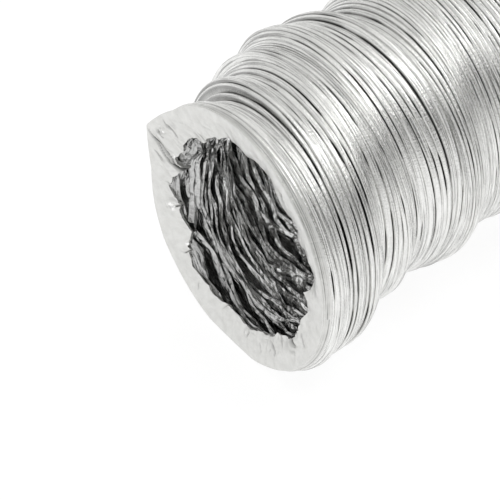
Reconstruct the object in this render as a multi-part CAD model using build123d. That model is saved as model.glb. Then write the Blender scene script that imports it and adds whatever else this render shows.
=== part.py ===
from build123d import *
import math
import os

# Flexible ventilation duct of aluminium foil over a helical spring wire, pushed together to its
# storage length and lying on its side. Millimetres, +Z up. The duct runs along +Y, its front
# opening faces -Y, and the origin is the centre of the footprint on the surface it lies on.

# ---- driving dimensions -------------------------------------------------------------------
OUTER_RADIUS = 52.0          # over the foil on the wire turns; duct of nominal size 100
CREST_DEPTH = 0.5            # how far the foil dips between neighbouring turns on the outside
OUTER_FOIL_RADIUS = 51.25    # inside of the outer foil
WIRE_HELIX_RADIUS = 50.6     # centre line of the spring wire
WIRE_RADIUS = 0.5
INNER_FOIL_RADIUS = 49.95    # outside of the inner foil, under the wire
INNER_FOIL_LAND = 0.25       # half the width of the foil band glued to the wire
FOIL_THICKNESS = 0.35        # of the inner foil where it passes under the wire
FOLD_TIP_RADIUS = 39.6       # innermost edge of the pleats that fold in between the turns
FOLD_TIP_LAND = 0.15         # half the width of that edge
FOLD_ROOT_RADIUS = 42.4      # where the two faces of a pleat meet
FLAT_DEPTH = 0.4             # how far the crests are pressed flat underneath

# Each section is one bundle of turns: the number of turns in it and its length.
SECTION_TURNS = [12, 6, 9, 7, 9, 12, 15, 13, 14, 18]
TURN_PITCH = 2.1             # axial room of one turn, pushed together
SECTION_GAP = 0.2            # free room between two sections

AXIS_HEIGHT = OUTER_RADIUS - FLAT_DEPTH
FRONT_OFFSET = 7.5           # the front section is pushed aside by this much ...
REST_OFFSET = -7.5           # ... and the sections behind it the other way

# End foils: the last pleat face, turned over the first wire turn outside and in at the opening
END_FACE_THICKNESS = 0.3
END_BAND_LENGTH = 4.0        # the plain band over the last turns, outside
END_LIP_LENGTH = 3.0         # the lip turned in at the opening
END_LIP_RADIUS = 39.0        # clear radius of the opening
END_LIP_THICKNESS = 0.3
END_CLEARANCE = 0.1          # between an end foil and the plies it covers

# Where each section starts along the duct
TOTAL_LENGTH = TURN_PITCH * sum(SECTION_TURNS)
SECTION_STARTS = [
    TURN_PITCH * sum(SECTION_TURNS[:index]) - TOTAL_LENGTH / 2
    for index in range(len(SECTION_TURNS))
]
LAST = len(SECTION_TURNS) - 1


def turned(profile, offset):
    """Turn a closed (radius, y) profile about the section's own axis, parallel to Y."""
    with BuildPart() as ring:
        with BuildSketch(Plane.XY):
            with BuildLine():
                Polyline(*profile, close=True)
            make_face()
        revolve(axis=Axis.Y)
    return Pos(offset, 0, AXIS_HEIGHT) * ring.part


def crested_sleeve(start, end, turns):
    """Outer foil: a thin sleeve with one round crest over each turn of the wire."""
    pitch = (end - start) / turns
    valley = OUTER_RADIUS - CREST_DEPTH
    with BuildPart() as sleeve:
        with BuildSketch(Plane.XY):
            with BuildLine():
                Polyline((valley, start), (OUTER_FOIL_RADIUS, start))
                Polyline((OUTER_FOIL_RADIUS, start), (OUTER_FOIL_RADIUS, end), (valley, end))
                for turn in range(turns):
                    low = start + turn * pitch
                    ThreePointArc((valley, low), (OUTER_RADIUS, low + pitch / 2), (valley, low + pitch))
            make_face()
        revolve(axis=Axis.Y)
    return sleeve.part


def pleat_profile(start, end, turns):
    """Inner foil: it lies flat under each wire turn and folds in to a narrow pleat between them."""
    pitch = (end - start) / turns
    outside = [(INNER_FOIL_RADIUS, start)]
    inside = [(INNER_FOIL_RADIUS - FOIL_THICKNESS, start)]
    for turn in range(turns):
        low = start + turn * pitch
        high = low + pitch
        outside.append((INNER_FOIL_RADIUS, low + INNER_FOIL_LAND))
        outside.append((FOLD_ROOT_RADIUS, low + pitch / 2))
        outside.append((INNER_FOIL_RADIUS, high - INNER_FOIL_LAND))
        inside.append((FOLD_TIP_RADIUS, low + pitch / 2 - FOLD_TIP_LAND))
        inside.append((FOLD_TIP_RADIUS, low + pitch / 2 + FOLD_TIP_LAND))
        inside.append((INNER_FOIL_RADIUS - FOIL_THICKNESS, high))
    outside.append((INNER_FOIL_RADIUS, end))
    return outside + inside[::-1]


def press_flat(solid):
    """Take off what would reach below the surface that the duct lies on."""
    below = Pos(0, 0, -OUTER_RADIUS) * Box(4 * OUTER_RADIUS, 4 * TOTAL_LENGTH, 2 * OUTER_RADIUS)
    return solid - below


def outer_foil(start, end, turns, offset):
    return press_flat(Pos(offset, 0, AXIS_HEIGHT) * crested_sleeve(start, end, turns))


def inner_foil(start, end, turns, offset):
    return turned(pleat_profile(start, end, turns), offset)


def wire_coil(start, end, turns, offset):
    """One stretch of the spring wire, a right-hand coil. Each half turn is a half circle that
    climbs half a pitch, so that the half circles run on smoothly from one another."""
    climb = (end - start - 2 * WIRE_RADIUS) / (2 * turns)
    slope = math.degrees(math.asin(climb / (2 * WIRE_HELIX_RADIUS)))
    half_turns = []
    for number in range(2 * turns):
        side = 1 if number % 2 == 0 else -1
        middle = start + WIRE_RADIUS + (number + 0.5) * climb
        plane = Plane((0, 0, 0), x_dir=(side, 0, 0), z_dir=(0, 1, 0))
        half = Solid.make_torus(WIRE_HELIX_RADIUS, WIRE_RADIUS, plane, major_angle=180)
        half_turns.append(Pos(0, middle, 0) * Rot(0, 0, -side * slope) * half)
    coil = half_turns[0].fuse(*half_turns[1:])
    return Pos(offset, 0, AXIS_HEIGHT) * coil


def end_foil(face, inward, offset):
    """End foil in the plane y = face: outer band, flat face and the lip in the opening."""
    lip_end = face + inward * END_LIP_LENGTH
    band_end = face + inward * END_BAND_LENGTH
    back = face + inward * END_FACE_THICKNESS
    lip_back = END_LIP_RADIUS + END_LIP_THICKNESS
    profile = [
        (END_LIP_RADIUS, face),
        (OUTER_RADIUS, face),
        (OUTER_RADIUS, band_end),
        (OUTER_FOIL_RADIUS, band_end),
        (OUTER_FOIL_RADIUS, back),
        (lip_back, back),
        (lip_back, lip_end),
        (END_LIP_RADIUS, lip_end),
    ]
    return press_flat(turned(profile, offset))


parts = {}
for index, turns in enumerate(SECTION_TURNS):
    offset = FRONT_OFFSET if index == 0 else REST_OFFSET
    start = SECTION_STARTS[index] + SECTION_GAP / 2
    end = SECTION_STARTS[index] + turns * TURN_PITCH - SECTION_GAP / 2
    ply_start = outer_start = start
    ply_end = outer_end = end
    outer_turns = turns
    if index == 0:
        ply_start = SECTION_STARTS[0] + END_FACE_THICKNESS + END_CLEARANCE
        outer_start = SECTION_STARTS[0] + END_BAND_LENGTH + END_CLEARANCE
        outer_turns = turns - 2
    if index == LAST:
        ply_end = TOTAL_LENGTH / 2 - END_FACE_THICKNESS - END_CLEARANCE
        outer_end = TOTAL_LENGTH / 2 - END_BAND_LENGTH - END_CLEARANCE
        outer_turns = turns - 2
    name = f"section_{index + 1:02d}"
    parts[f"{name}_outer_foil"] = outer_foil(outer_start, outer_end, outer_turns, offset)
    parts[f"{name}_wire"] = wire_coil(ply_start, ply_end, turns, offset)
    parts[f"{name}_inner_foil"] = inner_foil(ply_start, ply_end, turns, offset)
parts["front_end_foil"] = end_foil(-TOTAL_LENGTH / 2, 1, FRONT_OFFSET)
parts["rear_end_foil"] = end_foil(TOTAL_LENGTH / 2, -1, REST_OFFSET)

os.makedirs("parts", exist_ok=True)
for node, solid in parts.items():
    export_step(solid, f"parts/{node}.step")
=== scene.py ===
"""Flexible foil ventilation duct, pushed together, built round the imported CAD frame."""
import math

import bpy
import numpy as np
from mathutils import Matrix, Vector


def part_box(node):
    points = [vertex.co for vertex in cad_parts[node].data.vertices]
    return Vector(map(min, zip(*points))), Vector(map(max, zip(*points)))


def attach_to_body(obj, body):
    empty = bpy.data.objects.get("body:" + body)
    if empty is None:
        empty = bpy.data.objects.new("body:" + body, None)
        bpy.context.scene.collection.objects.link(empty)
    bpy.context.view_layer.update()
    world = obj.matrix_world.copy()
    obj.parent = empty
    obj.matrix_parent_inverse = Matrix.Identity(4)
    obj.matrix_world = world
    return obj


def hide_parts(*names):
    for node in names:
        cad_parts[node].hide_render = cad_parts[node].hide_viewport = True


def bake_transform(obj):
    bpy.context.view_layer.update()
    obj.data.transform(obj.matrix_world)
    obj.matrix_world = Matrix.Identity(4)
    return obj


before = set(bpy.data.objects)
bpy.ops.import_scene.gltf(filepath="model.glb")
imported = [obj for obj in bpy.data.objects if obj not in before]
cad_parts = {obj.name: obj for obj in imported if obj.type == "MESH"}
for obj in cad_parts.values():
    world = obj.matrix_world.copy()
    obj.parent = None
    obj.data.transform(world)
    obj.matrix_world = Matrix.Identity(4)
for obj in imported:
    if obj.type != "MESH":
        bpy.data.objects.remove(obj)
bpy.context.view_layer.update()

# ---- sizes, in millimetres, read from the frame -------------------------------------------
MM = 0.001
front_low, front_high = (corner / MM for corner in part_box("front_end_foil"))
rear_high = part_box("rear_end_foil")[1] / MM
FRONT, REAR = front_low.y, rear_high.y
LENGTH = REAR - FRONT
RADIUS = (front_high.x - front_low.x) / 2
AXIS_Z = front_high.z - RADIUS
SECTIONS = 10
TURNS = 115
END_INSET = 1.3                      # from the end plane to the centre of the first wire turn
PITCH = (LENGTH - 2 * END_INSET) / TURNS
WIRE_RADIUS = 0.5
WIRE_SIDES = 6
WIRE_DROP = 0.95                     # from the crest of the outer ply down to the wire's centre
STEPS = 240                          # mesh steps round one turn
TAU = 2 * math.pi
UPPER_LEFT = 138                     # direction of the upper left side, in degrees round the axis


def section_span(number):
    """Where a section's turns start and end along the duct."""
    low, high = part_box(f"section_{number:02d}_wire")
    return low.y / MM, high.y / MM


SECTION_MIDDLES = [sum(section_span(number)) / 2 for number in range(1, SECTIONS + 1)]

# ---- how the stack leans ------------------------------------------------------------------
# Distance from the front end, sideways place of the turns, their turn to the side, their lean
# (degrees) and their radius. The bundles of turns sit a little askew on one another.
STACK = [
    (0, 4.5, 1.0, -2.0, 53.2),
    (4, 6.0, 0.0, -4.0, 53.4),
    (8, 9.0, 2.0, -3.8, 51.8),
    (12, 8.8, 2.2, -4.0, 51.2),
    (15.5, 6.6, 1.6, -4.3, 53.2),
    (22, 5.2, 1.8, -4.4, 53.4),
    (29, 1.5, 1.0, -5.8, 54.8),
    (36, -6.5, -1.2, -3.8, 52.8),
    (39, -5.5, -1.3, -4.6, 52.4),
    (47, -5.8, -1.7, -0.4, 52.9),
    (55, -11.8, -3.5, -0.5, 53.0),
    (58, -11.2, -4.9, -0.8, 52.8),
    (64, -9.0, -5.9, -3.6, 52.2),
    (70, -9.3, -6.6, -6.7, 53.1),
    (73, -6.3, -5.0, -5.3, 50.9),
    (82, -6.3, -1.0, -5.1, 52.2),
    (92, -12.5, -0.7, -2.7, 51.8),
    (104, -13.5, 1.0, -0.7, 51.6),
    (125, -8.0, 1.5, 1.5, 52.4),
    (150, -4.5, -1.5, 2.0, 51.8),
    (180, -8.0, -2.0, -1.5, 52.3),
    (215, -10.0, 1.0, -1.0, 52.0),
    (242, -7.5, 0.0, 0.0, 52.0),
]
# Where one bundle of turns meets the next behind the view, and how far the turns draw in there.
WAISTS = [(115, 1.4), (147, 1.6), (174, 1.3), (204, 1.6)]
WAIST_REACH = 4.0 / 1.2              # how far along the duct they draw in


def seeded(number):
    return np.random.default_rng(4100 + number)


def eased(x, stations, values):
    """Smooth curve through the given stations, with no overshoot between them."""
    stations = np.asarray(stations, float)
    values = np.asarray(values, float)
    span = np.clip(np.searchsorted(stations, x, side="right") - 1, 0, len(stations) - 2)
    slopes = np.gradient(values, stations)
    width = stations[span + 1] - stations[span]
    t = np.clip((x - stations[span]) / width, 0, 1)
    rise = values[span + 1] - values[span]
    start = slopes[span] * width
    end = slopes[span + 1] * width
    square, cube = 3 * rise - 2 * start - end, start + end - 2 * rise
    return values[span] + t * start + t * t * square + t**3 * cube


def aside_of(angle_deg, centre):
    """Degrees from a direction, the short way round."""
    return (angle_deg - centre + 180) % 360 - 180


def window(distance, reach, power=2):
    """1 in the middle, falling away smoothly at reach either side; a high power falls late."""
    return np.exp(-((distance / reach) ** power))


def near_ends(place, reach):
    """1 at both ends of the duct, fading away within it."""
    return np.exp(-place / reach) + np.exp(-(LENGTH - place) / reach)


def wander(along, step, amount, seed, crisp=False):
    """Random walk about zero with a knot every step or so; crisp leaves a corner at each knot."""
    rng = seeded(seed)
    low, high = float(np.min(along)) - 3 * step, float(np.max(along)) + 3 * step
    count = int((high - low) / step) + 4
    knots = low + step * (np.arange(count) + rng.uniform(-0.35, 0.35, count))
    values = rng.uniform(-1, 1, count)
    if crisp:
        return amount * np.interp(along, knots, values)
    return amount * eased(along, knots, values)


def creases(x, y, size, amount, seed, folds=7):
    """Crumpled foil over a flat sheet: sharp folds in many directions, size apart or so."""
    rng = seeded(seed)
    total = np.zeros_like(x)
    for _ in range(folds):
        heading = rng.uniform(0, math.pi)
        reach = size * rng.uniform(0.6, 1.7)
        phase = rng.uniform(0, 1)
        bent = 0.35 * np.sin(TAU * (x * math.sin(heading) - y * math.cos(heading)) / (3.1 * reach))
        position = (x * math.cos(heading) + y * math.sin(heading)) / reach + phase + bent
        total += np.abs(2 * (position - np.floor(position + 0.5))) - 0.5
    return amount * total / math.sqrt(folds) * 1.7


# ---- the coil: where the wire runs --------------------------------------------------------
coil_turn = np.arange(TURNS * STEPS + 1) / STEPS          # turns from the front end
coil_angle = -TAU * coil_turn - math.pi / 2               # a right-hand helix, starting underneath


GAP_FADE = 2.5                       # number of turns over which the others make room for a gap
GAP_SHIFT = 3.8                      # a gap's width over the shift of the turns on each side of it
# Gaps that stand open: before which turn, at what angle, how far round and how wide.
OPEN_GAPS = [
    (1, -52, 42, 1.0),
    (2, -30, 40, 0.6),
    (4, 112, 40, 0.5),
    (6, 128, 45, 1.2),
    (7, 140, 40, 0.9),
    (8, 140, 50, 1.5),
    (9, 130, 45, 1.2),
    (10, 150, 35, 0.9),
    (11, 125, 45, 1.1),
    (13, 118, 60, 0.9),
    (15, 60, 40, 0.5),
    (17, 8, 60, 1.6),
    (18, 20, 40, 0.7),
    (20, -12, 40, 0.9),
    (23, 110, 50, 0.9),
    (26, 100, 45, 0.7),
    (28, 0, 40, 0.9),
    (31, 60, 50, 0.5),
    (34, -25, 40, 1.4),
    (35, -10, 40, 0.7),
    (38, 90, 45, 0.7),
    (43, 105, 45, 1.4),
    (44, -15, 45, 1.3),
    (48, 60, 60, 0.8),
    (57, 60, 60, 1.0),
    (71, 200, 70, 1.2),
    (86, 20, 60, 1.1),
    (99, 150, 60, 1.2),
]


def open_gap(turn, angle_deg, reach_deg, width):
    """Axial shift that opens the gap before one turn over part of the way round."""
    around = window(aside_of(np.degrees(coil_angle), angle_deg), reach_deg, 4)
    past = np.floor(coil_turn) - turn
    side = np.where(past >= 0, 1.0, -1.0)
    return around * side * width / GAP_SHIFT * window(past, GAP_FADE)


coil_place = END_INSET + PITCH * coil_turn
coil_place = coil_place + wander(coil_turn, 0.31, 0.28, 1) + wander(coil_turn, 2.3, 0.35, 2)
for gap in OPEN_GAPS:
    coil_place = coil_place + open_gap(*gap)
coil_place = np.clip(coil_place, END_INSET, LENGTH - END_INSET)

stations, stack_aside, stack_turned, stack_leaned, stack_radius = np.array(STACK).T
coil_radius = eased(coil_place, stations, stack_radius)
for place, depth in WAISTS:
    coil_radius -= depth * np.exp(-np.abs(coil_place - place) / WAIST_REACH)
coil_radius += wander(coil_turn, 0.4, 0.16, 3) + wander(coil_turn, 1.7, 0.22, 4)
# Behind the pinch at the front the turns lie unevenly, and stand out at the upper left.
LOOSE_PLACE, LOOSE_REACH = 17, 9
BULGE_PLACE, BULGE_REACH, BULGE_REACH_DEG, BULGE_OUT = 16, 5.5, 42, 4.2
coil_radius += wander(coil_turn, 0.53, 0.55, 5) * window(coil_place - LOOSE_PLACE, LOOSE_REACH, 4)
coil_radius += (
    BULGE_OUT * window(coil_place - BULGE_PLACE, BULGE_REACH)
    * window(aside_of(np.degrees(coil_angle), UPPER_LEFT), BULGE_REACH_DEG)
)


FLOOR_GAP = 0.02                     # the lowest turns are pressed flat, just clear of the floor


def ring_directions(place):
    """The sideways direction and the axis of the ring of turns at a distance from the front."""
    turned = np.radians(eased(place, stations, stack_turned))
    leaned = np.radians(eased(place, stations, stack_leaned))
    across = np.stack([np.cos(turned), -np.sin(turned), np.zeros_like(turned)], -1)
    normal = np.stack(
        [np.sin(turned) * np.cos(leaned), np.cos(turned) * np.cos(leaned), np.sin(leaned)], -1
    )
    return across, normal


def placed(place, radius, angle):
    """Points of the stack in millimetres: distance from the front, radius and angle round it."""
    aside = eased(place, stations, stack_aside)
    across, normal = ring_directions(place)
    upward = np.cross(across, normal)
    centre = np.stack([aside, FRONT + place, np.full_like(place, AXIS_Z)], -1)
    sideways, high = radius * np.cos(angle), radius * np.sin(angle)
    points = centre + (across * sideways[..., None] + upward * high[..., None])
    points[..., 2] = np.maximum(points[..., 2], FLOOR_GAP)
    return points


# ---- cross-sections of the foil between one wire turn and the next -------------------------
FOLD_TIP = 40.2                      # radius of the pleats' inner edges
BEAD = 1.4                           # most that the foil over one wire turn is wide, each way
PLY_GAP = 0.22                       # from the outer ply to the inner one along a pleat
RIM_RADIUS = 53.0                    # of the end faces
FACE_WIDTH = 12.0                    # from their rim in to the opening
FACE_CLEAR = 1.5                     # how far behind the end planes the plies stay, at the rim
FACE_DEEPER, FACE_CURVE = 4.0, 1.4   # how much further at the opening, and how that comes on

here = coil_turn[:-STEPS]
angle_here = coil_angle[:-STEPS]
place_a, place_b = coil_place[:-STEPS], coil_place[STEPS:]
radius_a, radius_b = coil_radius[:-STEPS], coil_radius[STEPS:]
half_pitch = np.maximum((place_b - place_a) / 2, 0.25)
gap_place = (place_a + place_b) / 2
# The beads of foil over the wire touch one another, except where a gap opens for a while.
# They are looser at the upper left of the front turns: place, reach, and how much wider.
LOOSER = [(26, 15, 0.2), (16, 7, 0.3)]
USUAL_GAP, LEAST_GAP, MOST_GAP = 0.06, 0.02, 0.4
upper_left = window(aside_of(np.degrees(angle_here), UPPER_LEFT), 38)
loose = sum(
    wider * upper_left * window(gap_place - place, reach, 4) for place, reach, wider in LOOSER
)
gap_wish = wander(here, 0.035, 0.6, 16) + wander(here, 0.3, 0.4, 17) + USUAL_GAP + loose
bead = np.minimum(BEAD, half_pitch - np.clip(gap_wish, LEAST_GAP, MOST_GAP) / 2)
gap_mouth = 2 * (half_pitch - bead)

# The pleats' tips lean to and fro, a few of them hang in further, and those next to the ends are
# pushed back from the end faces and drawn out towards them like a cone.
PUSHED_BACK, PUSHED_REACH = 1.5, 6
CONE_OUT, CONE_REACH = 4.3, 7
HANG_FROM, MOST_HANG, HANG_BEHIND = 1.6, 2.6, 12
flat_arc = (angle_here - math.pi / 2) * FOLD_TIP % (TAU * FOLD_TIP)
tip_lean = creases(0.3 * flat_arc, gap_place, 9.0, 2.2, 11)
tip_lean += wander(here, 0.045, 0.9, 12, True) + wander(here, 0.017, 0.25, 19, True)
tip_lean += PUSHED_BACK * np.exp(-gap_place / PUSHED_REACH)
tip_lean -= PUSHED_BACK * np.exp(-(LENGTH - gap_place) / PUSHED_REACH)
tip_radius = FOLD_TIP + wander(here, 0.05, 0.8, 13, True)
tip_radius += creases(0.35 * flat_arc, gap_place, 8.0, 0.9, 14)
hanging = np.clip(wander(here, 0.08, 4.5, 18, True) - HANG_FROM, 0, MOST_HANG)
tip_radius -= hanging * (1 - window(gap_place, HANG_BEHIND))
tip_radius += CONE_OUT * near_ends(gap_place, CONE_REACH)
wall_bow = wander(here, 0.06, 0.5, 15, True)


def streak(number, amount):
    """Height of a fine ridge that runs along the turn, one for each line of the profile."""
    fine = wander(here, 0.055, amount, 100 + number, True)
    return fine + wander(here, 0.4, amount / 2, 200 + number)


def pleat_points(depth, sway):
    """Place and radius of a pleat at a share of its depth, swayed off its middle."""
    radius = (1 - depth) * (radius_a + radius_b) / 2 + depth * tip_radius
    place = gap_place + depth * tip_lean + np.sin(math.pi * depth) * wall_bow + sway
    return place, radius


def groove(number, at_most):
    """Depth of a fold line that comes and goes along the turn."""
    depth = wander(here, 0.05, 2.2 * at_most, 300 + number)
    depth = depth + wander(here, 0.3, at_most, 340 + number)
    return np.clip(depth, 0, at_most)


def behind_faces(place, radius, further=0.0):
    """The place, held back where it would come through one of the end faces. They are dished."""
    inwards = np.clip((RIM_RADIUS - radius) / FACE_WIDTH, 0, 1)
    clear = FACE_CLEAR + further + FACE_DEEPER * inwards**FACE_CURVE
    return np.clip(place, clear, LENGTH - clear)


# Across half a bead: share of its half width, drop from its crest, how streaky it is there, and
# how deep a fold line there can be.
BEAD_SHAPE = [
    (0.0, 0.0, 0.0, 0.0),
    (0.12, 0.0, 0.06, 0.0),
    (0.26, 0.03, 0.08, 0.32),
    (0.4, 0.05, 0.09, 0.0),
    (0.56, 0.09, 0.1, 0.32),
    (0.72, 0.17, 0.08, 0.0),
    (0.9, 0.36, 0.05, 0.0),
    (1.0, 0.8, 0.02, 0.0),
]
# Painted shade: what "depth", which darkens the outer foil's colour, is raised by along a fold
# line, and on the flanks of a bead next to a gap, by their share of its half width.
FOLD_LINE_SHADE = 0.07
FLANK_SHADE = {
    0.72: 0.03 * upper_left,
    0.9: 0.02 + 0.13 * upper_left,
    1.0: 0.08 + 0.04 * upper_left,
}
# A wider gap gives its flanks more painted shade, up to the full amount at this width.
FULLY_SHADED_GAP = 0.35                     # width of gap from which a flank has its full tone


def outer_profile():
    """The outer ply: round over one wire turn, down into the pleat, up to the next turn."""
    openness = np.clip(gap_mouth / FULLY_SHADED_GAP, 0.4 + 0.6 * upper_left, 1)
    over_a, over_b = [], []
    for number, (share, drop, streaky, folded) in enumerate(BEAD_SHAPE):
        # The third value of each row darkens the colour through "depth": painted shade on the
        # flanks next to a gap, along the fold lines, and down in the pleat.
        shade_tone = FLANK_SHADE.get(share, 0 * here) * openness
        for rows, place, radius, line, way in (
            (over_a, place_a, radius_a, number, 1),
            (over_b, place_b, radius_b, number + 10, -1),
        ):
            height = radius - drop
            if streaky:
                height = height + streak(line, streaky)
            if folded:
                cut = groove(line, folded)
                height = height - cut
                shade_tone = FOLD_LINE_SHADE * cut / folded
            rows.append((place + way * share * bead, height, shade_tone))
    pleat = []
    for depth, sway in ((0.3, -0.35), (0.97, 0.0), (0.3, 0.35)):
        place, radius = pleat_points(depth, sway * gap_mouth)
        pleat.append((behind_faces(place, radius, 0.2), radius, depth + 0 * here))
    return over_a + pleat + over_b[::-1]


# Down one face of a pleat of the inner ply: depth, share of the gap's mouth and of the ply gap
# that it stands off the middle, and how crumpled it is there.
PLEAT_SHAPE = [
    (0.42, 0.35, 1.3, 0.1),
    (0.58, 0.27, 1.9, 0.2),
    (0.72, 0.2, 2.5, 0.3),
    (0.85, 0.15, 3.0, 0.35),
    (0.95, 0.1, 2.5, 0.35),
]
# The inner ply's land under a wire turn: how far below the crest, and its half width over a bead's.
LAND_DROP, LAND_EDGE_DROP, LAND_HALF = 1.7, 1.9, 0.4


def inner_profile():
    """The inner ply: flat under one wire turn, in along the pleat to its tip and out again."""
    level = np.ones_like(here)
    room = np.maximum(half_pitch - 0.1, 0.2)
    faces = []
    for side in (-1, 1):
        face = []
        for number, (depth, of_mouth, of_gap, crumpled) in enumerate(PLEAT_SHAPE):
            stand = np.minimum(of_mouth * gap_mouth + of_gap * PLY_GAP, room)
            place, radius = pleat_points(depth, side * stand)
            seed = 400 + 10 * number + side
            near_front = 0.12 + 0.75 * np.exp(-gap_place / 9)
            place = place + side * np.abs(wander(here, 0.042, crumpled, seed, True))
            place = place + wander(here, 0.011, near_front, seed + 200, True)
            radius = radius + wander(here, 0.038, 0.9 * crumpled, seed + 100, True)
            radius = radius + wander(here, 0.013, 0.3, seed + 300, True)
            face.append((behind_faces(place, radius), radius, depth * level))
        faces.append(face)
    land_a = [
        (place_a, radius_a - LAND_DROP, 0.1 * level),
        (place_a + LAND_HALF * bead, radius_a - LAND_EDGE_DROP, 0.15 * level),
    ]
    land_b = [
        (place_b - LAND_HALF * bead, radius_b - LAND_EDGE_DROP, 0.15 * level),
        (place_b, radius_b - LAND_DROP, 0.1 * level),
    ]
    tip_place, tip_out = pleat_points(1.02, 0 * here)
    tip = (behind_faces(tip_place, tip_out), tip_out, level)
    return land_a + faces[0] + [tip] + faces[1][::-1] + land_b


# ---- meshes -------------------------------------------------------------------------------
# Folds sharper than this are shaded as edges, on the inner foil and on the end foils.
INNER_SHARP_DEG, END_SHARP_DEG = 13, 15


def add_values(mesh, name, values):
    attribute = mesh.attributes.new(name, "FLOAT", "POINT")
    attribute.data.foreach_set("value", np.asarray(values, np.float32))


def make_mesh(name, points, quads, material, sharp_deg, values=None):
    """A shaded mesh object from points in millimetres and rows of four indices."""
    mesh = bpy.data.meshes.new(name)
    mesh.from_pydata((points * MM).tolist(), [], quads.tolist())
    mesh.update()
    for key, column in (values or {}).items():
        add_values(mesh, key, column)
    mesh.polygons.foreach_set("use_smooth", np.ones(len(quads), bool))
    if sharp_deg:
        mesh.set_sharp_from_angle(angle=math.radians(sharp_deg))
    mesh.materials.append(material)
    made = bpy.data.objects.new(name, mesh)
    bpy.context.scene.collection.objects.link(made)
    return made


def strip(rows, first, last):
    """The helical strip between two coil indices, welded turn to turn: points, quads, values."""
    place = np.stack([row[0] for row in rows], 1)[first:last + 1]
    radius = np.stack([row[1] for row in rows], 1)[first:last + 1]
    angle = np.repeat(angle_here[first:last + 1, None], len(rows), 1)
    points = placed(place, radius, angle)
    count, wide = points.shape[0], points.shape[1]
    index = np.arange(count * wide).reshape(count, wide)
    index[:-STEPS, -1] = index[STEPS:, 0]
    a, b = index[:-1, :-1], index[1:, :-1]
    c, d = index[1:, 1:], index[:-1, 1:]
    quads = np.stack([a, d, c, b], -1).reshape(-1, 4)
    used, quads = np.unique(quads, return_inverse=True)
    quads = quads.reshape(-1, 4)
    flat_points = points.reshape(-1, 3)[used]
    values = {
        "arc": ((angle + math.pi / 2) * RADIUS % (TAU * RADIUS)).reshape(-1)[used],
        "along": place.reshape(-1)[used],
        "depth": np.stack([row[2] for row in rows], 1)[first:last + 1].reshape(-1)[used],
    }
    return flat_points, quads, values


def coil_index(place):
    """The coil index of the whole turn nearest a place along the frame's own Y."""
    return int(round((place - FRONT - END_INSET) / PITCH)) * STEPS


CUTS = [0] + [coil_index(middle) for middle in SECTION_MIDDLES] + [len(here) - 1]


# ---- materials ----------------------------------------------------------------------------
def new_material(name):
    material = bpy.data.materials.new(name)
    material.use_nodes = True
    nodes = material.node_tree.nodes
    shader = nodes["Principled BSDF"]
    return material, nodes, material.node_tree.links, shader


def attribute_node(nodes, name):
    node = nodes.new("ShaderNodeAttribute")
    node.attribute_name = name
    return node.outputs["Fac"]


def feed(links, socket, value):
    """Link a socket, or set it where the value is fixed."""
    if isinstance(value, (int, float, tuple)):
        socket.default_value = value
    else:
        links.new(value, socket)


def math_node(nodes, links, operation, *values):
    node = nodes.new("ShaderNodeMath")
    node.operation = operation
    for socket, value in zip(node.inputs, values):
        feed(links, socket, value)
    return node.outputs[0]


def noise_node(nodes, links, vector, scale, detail, roughness=0.5):
    node = nodes.new("ShaderNodeTexNoise")
    node.inputs["Scale"].default_value = scale
    node.inputs["Detail"].default_value = detail
    node.inputs["Roughness"].default_value = roughness
    if vector is not None:
        links.new(vector, node.inputs["Vector"])
    return node.outputs["Fac"]


def ramp_node(nodes, links, value, stops):
    node = nodes.new("ShaderNodeValToRGB")
    ramp = node.color_ramp
    while len(ramp.elements) < len(stops):
        ramp.elements.new(0.5)
    for element, (position, colour) in zip(ramp.elements, stops):
        element.position = position
        element.color = (*colour, 1.0)
    links.new(value, node.inputs["Fac"])
    return node.outputs["Color"]


def bump_node(nodes, links, height, distance, strength, after=None):
    node = nodes.new("ShaderNodeBump")
    node.inputs["Distance"].default_value = distance
    node.inputs["Strength"].default_value = strength
    links.new(height, node.inputs["Height"])
    if after is not None:
        links.new(after, node.inputs["Normal"])
    return node.outputs["Normal"]


def mixed(nodes, links, factor, first, second, blend="MIX"):
    node = nodes.new("ShaderNodeMix")
    node.data_type = "RGBA"
    node.blend_type = blend
    for name, value in (("Factor", factor), ("A", first), ("B", second)):
        feed(links, node.inputs[name], value)
    return node.outputs["Result"]


def texture_place(nodes, links, arc, along, arc_scale, along_scale, third=0.0):
    """A place on the foil, scaled along the turn and across it, to stretch a texture."""
    node = nodes.new("ShaderNodeCombineXYZ")
    x = math_node(nodes, links, "MULTIPLY", arc, arc_scale)
    y = math_node(nodes, links, "MULTIPLY", along, along_scale)
    for socket, value in zip(node.inputs, (x, y, third)):
        feed(links, socket, value)
    return node.outputs[0]


def grey_ramp(nodes, links, value, stops):
    greys = [(place, (level, level, level)) for place, level in stops]
    return ramp_node(nodes, links, value, greys)


def with_painted_shade(nodes, links, colour, depth, stops):
    """The colour with painted shade: darker, by a grey ramp of a value, where the light and the
    shine are lost in a fold or recess.
    """
    return mixed(nodes, links, 1.0, colour, grey_ramp(nodes, links, depth, stops), "MULTIPLY")


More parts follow.
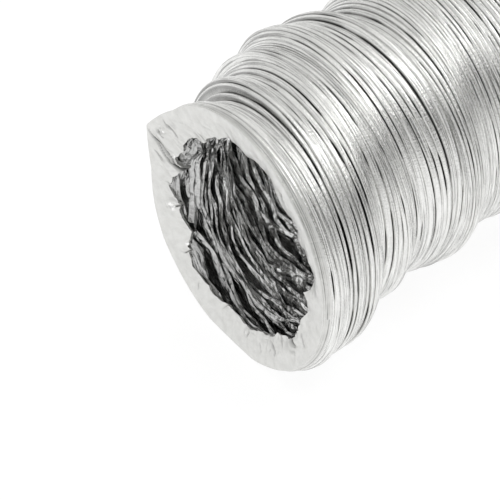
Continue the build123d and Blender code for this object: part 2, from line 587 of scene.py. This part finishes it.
def outer_foil_material():
    """Bright laminated foil, pulled over the wire in fine creases that run across each turn."""
    material, nodes, links, shader = new_material("outer_foil_creased")
    arc, along, depth = (attribute_node(nodes, name) for name in ("arc", "along", "depth"))
    spot = texture_place(nodes, links, arc, along, 1.1, 0.6)
    crease = noise_node(nodes, links, spot, 1.0, 4.0, 0.65)
    spot = texture_place(nodes, links, arc, along, 0.1, 0.9, 3.0)
    patch = noise_node(nodes, links, spot, 1.0, 4.0, 0.6)
    spot = texture_place(nodes, links, arc, along, 0.05, 2.2, 7.0)
    lines = noise_node(nodes, links, spot, 1.0, 2.0)
    colour = ramp_node(nodes, links, patch, [
        (0.3, (0.72, 0.72, 0.705)), (0.5, (0.84, 0.84, 0.825)), (0.7, (0.92, 0.92, 0.905)),
    ])
    # Painted shade: the colour is darker by "depth" in the gaps between beads, along their fold
    # lines and down in the pleats.
    painted_shade_stops = [(0.0, 1.0), (0.06, 0.72), (0.12, 0.38), (0.2, 0.68)]
    links.new(with_painted_shade(nodes, links, colour, depth, painted_shade_stops), shader.inputs["Base Color"])
    links.new(grey_ramp(nodes, links, patch, [(0.3, 0.3), (0.7, 0.17)]), shader.inputs["Roughness"])
    normal = bump_node(nodes, links, crease, 0.0003, 0.7)
    links.new(bump_node(nodes, links, lines, 0.0006, 0.5, normal), shader.inputs["Normal"])
    shader.inputs["Metallic"].default_value = 1.0
    return material


def inner_foil_material():
    """The same foil inside, glossier, crumpled where it folds, with painted shade between the pleat
    tips, along the fold lines and on the pleats next to the front.
    """
    material, nodes, links, shader = new_material("inner_foil_crumpled")
    arc, along, depth = (attribute_node(nodes, name) for name in ("arc", "along", "depth"))
    down = math_node(nodes, links, "MULTIPLY", depth, 9.0)
    place = texture_place(nodes, links, arc, along, 0.35, 0.9, down)
    crumple = noise_node(nodes, links, place, 1.0, 4.0, 0.6)
    cells = nodes.new("ShaderNodeTexVoronoi")
    cells.inputs["Scale"].default_value = 0.9
    links.new(place, cells.inputs["Vector"])
    down_folds = math_node(nodes, links, "MULTIPLY", depth, 15.0)
    spot = texture_place(nodes, links, arc, along, 0.09, 0.7, down_folds)
    folds = noise_node(nodes, links, spot, 1.0, 2.0)
    inward = math_node(nodes, links, "MULTIPLY", along, 1 / 30)
    tones = [(0.3, (0.88, 0.88, 0.87)), (0.7, (0.97, 0.97, 0.96))]
    colour = ramp_node(nodes, links, crumple, tones)
    # Painted shade: darker towards the land between the pleat tips (depth), along the fold lines of
    # the folds noise, and on the pleats next to the front opening (inward).
    for value, stops in (
        (depth, [(0.4, 0.8), (0.75, 0.92), (0.95, 1.0)]),
        (folds, [(0.34, 0.3), (0.41, 0.9), (0.5, 1.0)]),
        (inward, [(0.0, 0.5), (0.25, 0.6), (0.8, 1.0)]),
    ):
        colour = with_painted_shade(nodes, links, colour, value, stops)
    links.new(colour, shader.inputs["Base Color"])
    roughness = grey_ramp(nodes, links, crumple, [(0.35, 0.27), (0.7, 0.12)])
    links.new(roughness, shader.inputs["Roughness"])
    normal = bump_node(nodes, links, cells.outputs["Distance"], 0.001, 0.4)
    normal = bump_node(nodes, links, crumple, 0.0012, 0.4, normal)
    links.new(bump_node(nodes, links, folds, 0.0012, 0.3, normal), shader.inputs["Normal"])
    shader.inputs["Metallic"].default_value = 1.0
    return material


def end_foil_material():
    """The end faces: the same foil lying smooth, satin, with fine crease lines, painted shade in
    the pinched creases, and small glints that are partly a painted highlight.
    """
    material, nodes, links, shader = new_material("end_foil_satin")
    arc, reach, pinched, glint = (
        attribute_node(nodes, name) for name in ("arc", "reach", "pinched", "glint")
    )
    place = texture_place(nodes, links, arc, reach, 0.3, 0.3)
    wrinkle = noise_node(nodes, links, place, 1.0, 5.0, 0.6)
    # Painted highlight: where "glint" is high the colour is raised to near white, with the
    # roughness lowered as well.
    painted_glint_and_gloss = grey_ramp(nodes, links, glint, [(0.2, 0.0), (0.8, 1.0)])
    tones = [(0.3, (0.67, 0.67, 0.652)), (0.7, (0.75, 0.75, 0.733))]
    colour = ramp_node(nodes, links, wrinkle, tones)
    # Painted shade in the pinched creases.
    colour = with_painted_shade(nodes, links, colour, pinched, [(0.0, 1.0), (0.5, 0.78), (1.0, 0.25)])
    colour = mixed(nodes, links, painted_glint_and_gloss, colour, (0.97, 0.97, 0.96, 1))
    links.new(colour, shader.inputs["Base Color"])
    rough = grey_ramp(nodes, links, wrinkle, [(0.3, 0.46), (0.7, 0.3)])
    links.new(mixed(nodes, links, painted_glint_and_gloss, rough, (0.14, 0.14, 0.14, 1)), shader.inputs["Roughness"])
    cells = nodes.new("ShaderNodeTexVoronoi")
    cells.feature = "DISTANCE_TO_EDGE"
    cells.inputs["Scale"].default_value = 0.55
    links.new(place, cells.inputs["Vector"])
    cracks = [(0.0, 0.0), (0.06, 0.8), (0.3, 1.0)]
    crease = grey_ramp(nodes, links, cells.outputs["Distance"], cracks)
    normal = bump_node(nodes, links, crease, 0.0003, 0.35)
    links.new(bump_node(nodes, links, wrinkle, 0.0008, 0.35, normal), shader.inputs["Normal"])
    shader.inputs["Metallic"].default_value = 1.0
    return material


def wire_material():
    """Drawn spring steel with fine lines along it."""
    material, nodes, links, shader = new_material("spring_wire_steel")
    arc, along = attribute_node(nodes, "arc"), attribute_node(nodes, "along")
    lines = noise_node(nodes, links, texture_place(nodes, links, arc, along, 0.4, 9.0), 1.0, 3.0)
    colour = ramp_node(nodes, links, lines, [(0.3, (0.42, 0.42, 0.43)), (0.7, (0.56, 0.56, 0.57))])
    links.new(colour, shader.inputs["Base Color"])
    links.new(grey_ramp(nodes, links, lines, [(0.3, 0.42), (0.7, 0.3)]), shader.inputs["Roughness"])
    links.new(bump_node(nodes, links, lines, 0.0001, 0.4), shader.inputs["Normal"])
    shader.inputs["Metallic"].default_value = 1.0
    return material


def floor_material():
    """A light table: pale, and lit from below, so that the shadows on it stay faint."""
    material, nodes, links, shader = new_material("pale_floor")
    noise = noise_node(nodes, links, None, 6.0, 2.0)
    grey = grey_ramp(nodes, links, noise, [(0.3, 0.19), (0.7, 0.21)])
    links.new(grey, shader.inputs["Base Color"])
    shader.inputs["Roughness"].default_value = 0.9
    shader.inputs["Specular IOR Level"].default_value = 0.0
    shader.inputs["Emission Color"].default_value = (1, 1, 1, 1)
    shader.inputs["Emission Strength"].default_value = 0.88
    return material


OUTER_FOIL = outer_foil_material()
INNER_FOIL = inner_foil_material()
END_FOIL = end_foil_material()
SPRING_WIRE = wire_material()


# ---- the pieces ---------------------------------------------------------------------------
def bending_zone(number):
    """Two points in metres that bound the zone where a piece would bend: square to its turns, and
    just clear of the turns that it shares with the pieces before and after it."""
    seams = []
    for cut in (CUTS[number], CUTS[number + 1]):
        shared = slice(cut, cut + STEPS + 1)
        seams.append(placed(coil_place[shared], coil_radius[shared], coil_angle[shared]))
    _, normals = ring_directions(coil_place[[CUTS[number], CUTS[number + 1]]])
    along = normals.sum(0) / np.linalg.norm(normals.sum(0))
    first, last = (seams[0] @ along).max(), (seams[1] @ along).min()
    return Vector(along * first * MM), Vector(along * last * MM)


def attach(piece, number):
    """Piece number 0 rides on the front section, the last on the rear one. For the others the zone
    between the section before them and the one after is worked out but not used, and their
    transform is baked into the mesh."""
    names = [f"section_{section:02d}" for section in range(1, SECTIONS + 1)]
    if number == 0:
        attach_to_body(piece, names[0])
    elif number == SECTIONS:
        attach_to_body(piece, names[-1])
    else:
        start, end = bending_zone(number)
        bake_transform(piece)


def foil_pieces(kind, rows, material, sharp_deg):
    for number in range(SECTIONS + 1):
        points, quads, values = strip(rows, CUTS[number], CUTS[number + 1])
        piece = make_mesh(f"{kind}_{number:02d}", points, quads, material, sharp_deg, values)
        attach(piece, number)
        if number:
            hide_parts(f"section_{number:02d}_{kind}")


def wire_pieces():
    """The spring wire under the foil crests, as one round tube cut at the same places."""
    round_wire = TAU * np.arange(WIRE_SIDES) / WIRE_SIDES
    for number in range(SECTIONS + 1):
        first, last = CUTS[number], CUTS[number + 1]
        if number == SECTIONS:
            last = len(coil_turn) - 1
        pick = np.arange(first, last + 1, 2)
        place = coil_place[pick, None] + WIRE_RADIUS * np.cos(round_wire)
        radius = coil_radius[pick, None] - WIRE_DROP + WIRE_RADIUS * np.sin(round_wire)
        angle = np.repeat(coil_angle[pick, None], WIRE_SIDES, 1)
        points = placed(place, radius, angle)
        index = np.arange(points.shape[0] * WIRE_SIDES).reshape(-1, WIRE_SIDES)
        across = np.roll(index, -1, 1)
        quads = np.stack([index[:-1], index[1:], across[1:], across[:-1]], -1).reshape(-1, 4)
        values = {"arc": (angle * RADIUS).reshape(-1), "along": place.reshape(-1)}
        name = f"spring_wire_{number:02d}"
        piece = make_mesh(name, points.reshape(-1, 3), quads, SPRING_WIRE, 0, values)
        attach(piece, number)
        if number:
            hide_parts(f"section_{number:02d}_wire")


END_STEPS = 1200                     # mesh steps round an end face
FACE_EDGE = 41.0                     # mean radius of the torn edge round the opening
FACE_MIDDLE = 46.0                   # radius at which "arc" is measured on an end face
FACE_DISH = 2.7                      # how far that edge lies back from the rim
FACE_ROWS = 24                       # mesh rows across the face
RIM_BACK = 0.75                      # how far back from the face the foil leaves the rim
GROOVE_DEPTH = 0.22                  # of the lines in the band behind the rim
GLINT_DEPTH = 0.6                    # depth of crumple from which it glints
PINCH_HALF = 0.65                    # half width of a pinched crease, in degrees

# Tongues and notches of the torn edge: angle, half width in degrees, and how far out it lies.
FRONT_TEARS = [
    (-20, 9, -1.5), (-1, 6, -5.0), (17, 10, 2.3), (54, 10, -2.0), (92, 6, -1.4), (116, 7, -1.5),
    (131, 9, -2.8), (156, 8, 0.2), (167, 6, 1.3), (175, 4, -1.4), (189, 7, 5.0), (213, 6, -5.4),
    (231, 10, 5.4), (249, 7, 1.8), (270, 12, -2.4), (292, 8, -2.0), (308, 9, -2.4), (322, 6, 1.2),
]
REAR_TEARS = [
    (20, 10, 2.0), (64, 8, -2.4), (101, 12, 2.2), (140, 8, -3.0), (176, 9, 2.6),
    (205, 7, -3.4), (240, 12, 1.8), (283, 9, -2.8), (318, 8, 2.4), (345, 7, -1.6),
]
# Corners where the foil stands out past the rim: angle, half width, how far out and how far back.
FRONT_CORNERS = [(163, 22, 4.9, -1.2), (216, 55, 2.7, 0.0)]
REAR_CORNERS = [(48, 8, 2.2, 0.8), (230, 12, 1.2, 0.3)]
# Sharp folds across the face: angle at the rim and at the edge, half width and depth.
FRONT_FOLDS = [
    (163, 172, 2.2, 1.3), (168, 181, 1.8, -1.0), (156, 160, 1.6, 0.8), (150, 152, 1.8, -0.6),
    (176, 186, 2.0, 0.7), (190, 196, 1.6, 0.7), (204, 202, 1.8, -0.5), (222, 228, 1.6, 0.7),
    (246, 244, 1.5, 0.6), (262, 264, 1.4, -0.6), (274, 277, 1.3, 0.7), (284, 282, 1.6, -0.6),
    (293, 296, 1.4, 0.7), (304, 301, 1.5, -0.6), (318, 322, 1.6, 0.8), (338, 342, 1.8, -0.6),
    (352, 356, 1.6, 0.7), (128, 126, 1.8, -0.5), (138, 140, 1.6, 0.5), (112, 111, 1.7, 0.4),
]
# Patches of the face that are crumpled small: angle, radius, reach and depth.
FRONT_CRUMPLES = [
    (158, 51, 4, 0.85), (169, 43, 4, 0.9), (151, 50, 5, 0.5), (139, 45, 7, 0.35),
    (200, 45, 4, 0.9), (221, 42, 3.5, 0.9), (243, 46, 5, 0.4), (261, 43, 3.5, 0.7),
    (279, 43, 4, 0.8), (293, 47, 5, 0.4), (306, 44, 5, 0.7), (322, 42, 5, 0.9),
    (338, 45, 5, 0.4), (182, 50, 6, 0.4), (118, 43, 5, 0.4),
]
# Sharp pinched creases: angle at the rim and at the edge, where they start and end, depth.
FRONT_PINCHES = [
    (163.6, 173.2, 0.0, 1.0, 2.0), (165.0, 174.8, 0.2, 1.0, 1.5), (150, 152, 0.08, 0.85, 1.1),
    (157, 168, 0.2, 0.5, 1.4), (172, 175, 0.2, 0.55, 1.0), (186, 188, 0.75, 1.0, 1.6),
    (202, 198, 0.6, 1.0, 1.4), (221, 224, 0.55, 1.0, 1.0), (243, 240, 0.4, 0.8, 0.6),
    (262, 259, 0.7, 1.0, 0.7), (277, 281, 0.55, 1.0, 1.0), (292, 289, 0.3, 0.7, 0.7),
    (297, 300, 0.45, 1.0, 1.0), (304, 302, 0.35, 0.9, 1.1), (309, 312, 0.5, 1.0, 0.9),
    (324, 320, 0.5, 1.0, 1.3), (332, 336, 0.3, 0.8, 0.8), (128, 131, 0.6, 1.0, 0.9),
    (117, 115, 0.5, 0.9, 0.6),
]
# The rear face isn't seen, so its marks are spread round it evenly.
REAR_PINCHES = [
    (23 * k % 360, (23 * k + 5 - 3 * (k % 4)) % 360, 0.3, 1.0, 0.7 + 0.3 * (k % 3))
    for k in range(15)
]
REAR_CRUMPLES = [(70 * k % 360, 43 + 3 * (k % 3), 5, 0.7 - 0.1 * (k % 4)) for k in range(12)]
REAR_FOLDS = [
    (31 * k % 360, (31 * k + 7 - 3 * (k % 4)) % 360, 1.4 + 0.2 * (k % 3), 0.6 - 0.5 * (k % 3))
    for k in range(18)
]


def tent(aside, reach):
    """1 in the middle, falling straight to 0 at reach either side."""
    return np.clip(1 - np.abs(aside) / reach, 0, None)


def first_crest(at_rear):
    """Place and radius of the foil crest next to an end, for each step round the end foil."""
    pick = np.round(np.arange(END_STEPS) * STEPS / END_STEPS).astype(int)
    pick = (pick + STEPS * 3 // 4) % STEPS      # the coil starts underneath, the foil at the right
    if at_rear:
        pick = pick + len(coil_place) - 1 - STEPS
        return LENGTH - coil_place[pick], coil_radius[pick]
    return coil_place[pick], coil_radius[pick]


def end_foil(name, node, section, seed, marks, at_rear):
    """An end foil: over the first wire turn, across the end face, to the opening's torn edge."""
    tears, corners, folds, crumples, pinches = marks
    angle = -TAU * np.arange(END_STEPS) / END_STEPS
    around = np.degrees(angle) % 360
    edge = FACE_EDGE + wander(around, 3.0, 0.5, seed, True) + wander(around, 12.0, 0.5, seed + 1)
    for centre, reach, out in tears:
        edge = edge + out * tent(aside_of(around, centre), 1.35 * reach)
    rim = RIM_RADIUS + wander(around, 7.0, 0.12, seed + 2) + wander(around, 25.0, 0.2, seed + 3)
    corner_back = np.zeros_like(around)
    for centre, reach, out, back in corners:
        stands = tent(aside_of(around, centre), reach) ** 1.3
        rim = rim + out * stands
        corner_back = corner_back + back * stands
    dish = FACE_DISH + wander(around, 10.0, 0.5, seed + 4, True)
    dish = dish + wander(around, 45.0, 0.4, seed + 5)
    rows, reach_values, pinch_values, glint_values = [], [], [], []

    def add_row(place, radius, reach, pinched=0.0, glint=0.0):
        rows.append((place + np.zeros_like(angle), radius + np.zeros_like(angle)))
        reach_values.append(reach)
        pinch_values.append(pinched + np.zeros_like(angle))
        glint_values.append(glint + np.zeros_like(angle))

    # From the crest over the first wire turn to the rim, with a groove in every other line.
    crest_place, crest_radius = first_crest(at_rear)
    add_row(crest_place, crest_radius, -3.0)
    for number, share in enumerate((0.14, 0.27, 0.4, 0.52, 0.64, 0.76, 0.88)):
        height = crest_radius + (rim - crest_radius) * share - 0.5 * share * (1 - share)
        height = height + wander(around, 13.0, 0.1, seed + 30 + number, True)
        lined = 0.0
        if number % 2:
            height = height - GROOVE_DEPTH
            lined = np.clip(wander(around, 24.0, 1.0, seed + 50 + number) + 0.3, 0, 0.85)
        add_row(crest_place - share * (crest_place - RIM_BACK), height, -2.9 + 1.6 * share, lined)
    add_row(RIM_BACK + 0.4 * corner_back, rim - 0.25, -1.2)
    add_row(0.42 + corner_back, rim, -0.6)
    add_row(0.12 + corner_back, rim - 0.15, -0.2)

    # Across the face, from the rim to the torn edge.
    for share in [0.025, *np.linspace(0, 1, FACE_ROWS + 1)[1:]]:
        radius = (rim - 0.5) * (1 - share) + edge * share
        flat_x, flat_y = np.cos(angle) * radius, np.sin(angle) * radius
        wave = creases(flat_x, flat_y, 7.5, 0.08 + 0.2 * share, seed + 6, 6)
        wave += creases(flat_x, flat_y, 3.2, 0.05, seed + 8, 6)
        fine = creases(flat_x, flat_y, 4.6, 1.0, seed + 9, 5)
        # glint is the mask of a painted highlight on the crumpled patches, which also get a lower
        # roughness.
        glint = np.zeros_like(around)
        for bearing, out, reach, depth in crumples:
            spot_x = out * math.cos(math.radians(bearing))
            spot_y = out * math.sin(math.radians(bearing))
            apart = np.hypot(flat_x - spot_x, flat_y - spot_y)
            wave += depth * 0.75 * fine * window(apart, reach)
            shine = 4 * max(0.0, depth - GLINT_DEPTH)
            glint = glint + shine * window(apart, 0.45 * reach) * (fine > 0.15)
        radial = wander(around, 2.6, 0.04 + 0.08 * share, seed + 7, True)
        fold_depth = np.zeros_like(around)
        for at_rim, at_edge, half, depth in folds:
            bearing = at_rim + share * aside_of(at_edge, at_rim)
            deepening = min(1.0, 0.35 + 0.9 * share)
            fold_depth += depth * deepening * tent(aside_of(around, bearing), 1.5 * half)
        # pinched also darkens the colour of the face: painted shade in these creases.
        pinched = np.zeros_like(around)
        for at_rim, at_edge, begins, ends, depth in pinches:
            if begins <= share <= ends:
                bearing = at_rim + share * aside_of(at_edge, at_rim)
                bearing += 0.8 * math.sin(9 * share + at_rim)
                fade = min(1, 4 * (share - begins))
                if ends < 1:
                    fade = math.sin(math.pi * (share - begins) / (ends - begins))
                pinched += depth * fade * tent(aside_of(around, bearing), PINCH_HALF)
        back = dish * share**1.7 + corner_back * (1 - share) ** 2 + pinched
        back = back + min(1.0, 3 * share) * (wave + radial + fold_depth)
        add_row(back, radius, 1 + 11 * share, pinched, glint)

    # The torn edge, turned back into the duct.
    face_edge = rows[-1][0]
    for deeper, wider in ((0.5, 0.25), (1.1, 0.9), (1.4, 1.9)):
        jag = wander(around, 3.0, 0.25, seed + 20 + int(deeper * 10), True)
        add_row(face_edge + deeper + jag, edge + wider + 0.5 * jag, 12 + deeper)
    place = np.stack([row[0] for row in rows], 1)
    radius = np.stack([row[1] for row in rows], 1)
    angles = np.repeat(angle[:, None], len(rows), 1)
    if at_rear:
        place = LENGTH - place
    points = placed(place, radius, angles)
    index = np.arange(points.shape[0] * points.shape[1]).reshape(points.shape[:2])
    nexts = np.roll(index, -1, 0)
    quads = np.stack([index[:, :-1], index[:, 1:], nexts[:, 1:], nexts[:, :-1]], -1).reshape(-1, 4)
    if at_rear:
        quads = quads[:, ::-1]
    values = {
        "arc": ((angles + math.pi / 2) * FACE_MIDDLE % (TAU * FACE_MIDDLE)).reshape(-1),
        "reach": np.tile(reach_values, (END_STEPS, 1)).reshape(-1),
        "pinched": np.stack(pinch_values, 1).reshape(-1),
        "glint": np.stack(glint_values, 1).reshape(-1),
    }
    piece = make_mesh(name, points.reshape(-1, 3), quads, END_FOIL, END_SHARP_DEG, values)
    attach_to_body(piece, section)
    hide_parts(node)


foil_pieces("outer_foil", outer_profile(), OUTER_FOIL, 0)
foil_pieces("inner_foil", inner_profile(), INNER_FOIL, INNER_SHARP_DEG)
wire_pieces()
front_marks = (FRONT_TEARS, FRONT_CORNERS, FRONT_FOLDS, FRONT_CRUMPLES, FRONT_PINCHES)
rear_marks = (REAR_TEARS, REAR_CORNERS, REAR_FOLDS, REAR_CRUMPLES, REAR_PINCHES)
end_foil("front_end_foil_crumpled", "front_end_foil", "section_01", 300, front_marks, False)
end_foil("rear_end_foil_crumpled", "rear_end_foil", "section_10", 400, rear_marks, True)


# ---- studio -------------------------------------------------------------------------------
VIEW_HEADING, VIEW_ELEVATION = 37.4, 44.05      # degrees: duct axis from image right, camera height
VIEW_DISTANCE = 1.5
VIEW_WIDTH = 0.18424                            # metres across the picture at the front ring
AIM_ASIDE, AIM_BELOW = 0.00549, 0.00394         # from the front ring's centre to the picture's

heading, elevation = math.radians(VIEW_HEADING), math.radians(VIEW_ELEVATION)
right = Vector((math.sin(heading), math.cos(heading), 0))
level = math.cos(elevation)
ahead = Vector((-math.cos(heading) * level, math.sin(heading) * level, -math.sin(elevation)))
upward = right.cross(ahead)


def make_camera():
    data = bpy.data.cameras.new("camera")
    data.sensor_width = 36.0
    data.lens = data.sensor_width * VIEW_DISTANCE / VIEW_WIDTH
    data.clip_start, data.clip_end = 0.05, 20.0
    camera = bpy.data.objects.new("camera", data)
    bpy.context.scene.collection.objects.link(camera)
    ring = Vector((STACK[0][1] * MM, FRONT * MM, AXIS_Z * MM))
    camera.location = ring - ahead * VIEW_DISTANCE + right * AIM_ASIDE - upward * AIM_BELOW
    camera.rotation_mode = "QUATERNION"
    camera.rotation_quaternion = ahead.to_track_quat("-Z", "Y")
    bpy.context.scene.camera = camera


def make_floor():
    mesh = bpy.data.meshes.new("floor")
    reach, corners, height = 4.0, 64, -0.0002
    turns = [TAU * corner / corners for corner in range(corners)]
    points = [(reach * math.cos(turn), reach * math.sin(turn), height) for turn in turns]
    mesh.from_pydata(points, [], [list(range(corners))])
    mesh.materials.append(floor_material())
    floor = bpy.data.objects.new("floor", mesh)
    bpy.context.scene.collection.objects.link(floor)


# Light of the room beside and behind the duct, by the angle up from the duct's right: there is a
# dark strip low down on the right, and a bright one above it.
ROOM_LIGHT = [
    (-180, 0.84), (-2, 0.86), (18, 0.74), (27, 0.4), (34, 0.12), (52, 0.12), (59, 0.75),
    (70, 1.12), (86, 1.1), (100, 0.9), (130, 0.86), (155, 0.74), (175, 0.84),
]
FRONT_LIGHT = 0.74                   # of the room in front of the opening
FADE_STEEP, FADE_START = 4.0, 1.6    # how the one light goes over into the other along Y


def make_world():
    world = bpy.data.worlds.new("studio")
    world.use_nodes = True
    nodes, links = world.node_tree.nodes, world.node_tree.links
    background = nodes["Background"]
    coordinates = nodes.new("ShaderNodeTexCoord")
    split = nodes.new("ShaderNodeSeparateXYZ")
    links.new(coordinates.outputs["Generated"], split.inputs[0])
    angle = math_node(nodes, links, "ARCTAN2", split.outputs["Z"], split.outputs["X"])
    share = math_node(nodes, links, "MULTIPLY_ADD", angle, 1 / TAU, 0.5)
    stops = [((degrees + 180) / 360, (level, level, level * 0.99)) for degrees, level in ROOM_LIGHT]
    along = split.outputs["Y"]
    behind = math_node(nodes, links, "MULTIPLY_ADD", along, FADE_STEEP, FADE_START)
    behind.node.use_clamp = True
    room = ramp_node(nodes, links, share, stops)
    light = mixed(nodes, links, behind, (FRONT_LIGHT, FRONT_LIGHT, FRONT_LIGHT, 1), room)
    links.new(light, background.inputs["Color"])
    background.inputs["Strength"].default_value = 1.0
    bpy.context.scene.world = world


def area_light(name, place, aim, size, power):
    data = bpy.data.lights.new(name, "AREA")
    data.shape = "DISK"
    data.size = size
    data.energy = power
    light = bpy.data.objects.new(name, data)
    light.location = place
    light.rotation_mode = "QUATERNION"
    light.rotation_quaternion = (Vector(aim) - Vector(place)).to_track_quat("-Z", "Y")
    light.visible_camera = False
    bpy.context.scene.collection.objects.link(light)


make_camera()
make_floor()
make_world()
area_light("softbox_above", (0.3, 0.75, 1.5), (0, 0, 0.05), 1.0, 5.0)
bpy.context.scene.cycles.max_bounces = 16
bpy.context.scene.cycles.glossy_bounces = 12
bpy.context.scene.view_settings.view_transform = "Standard"
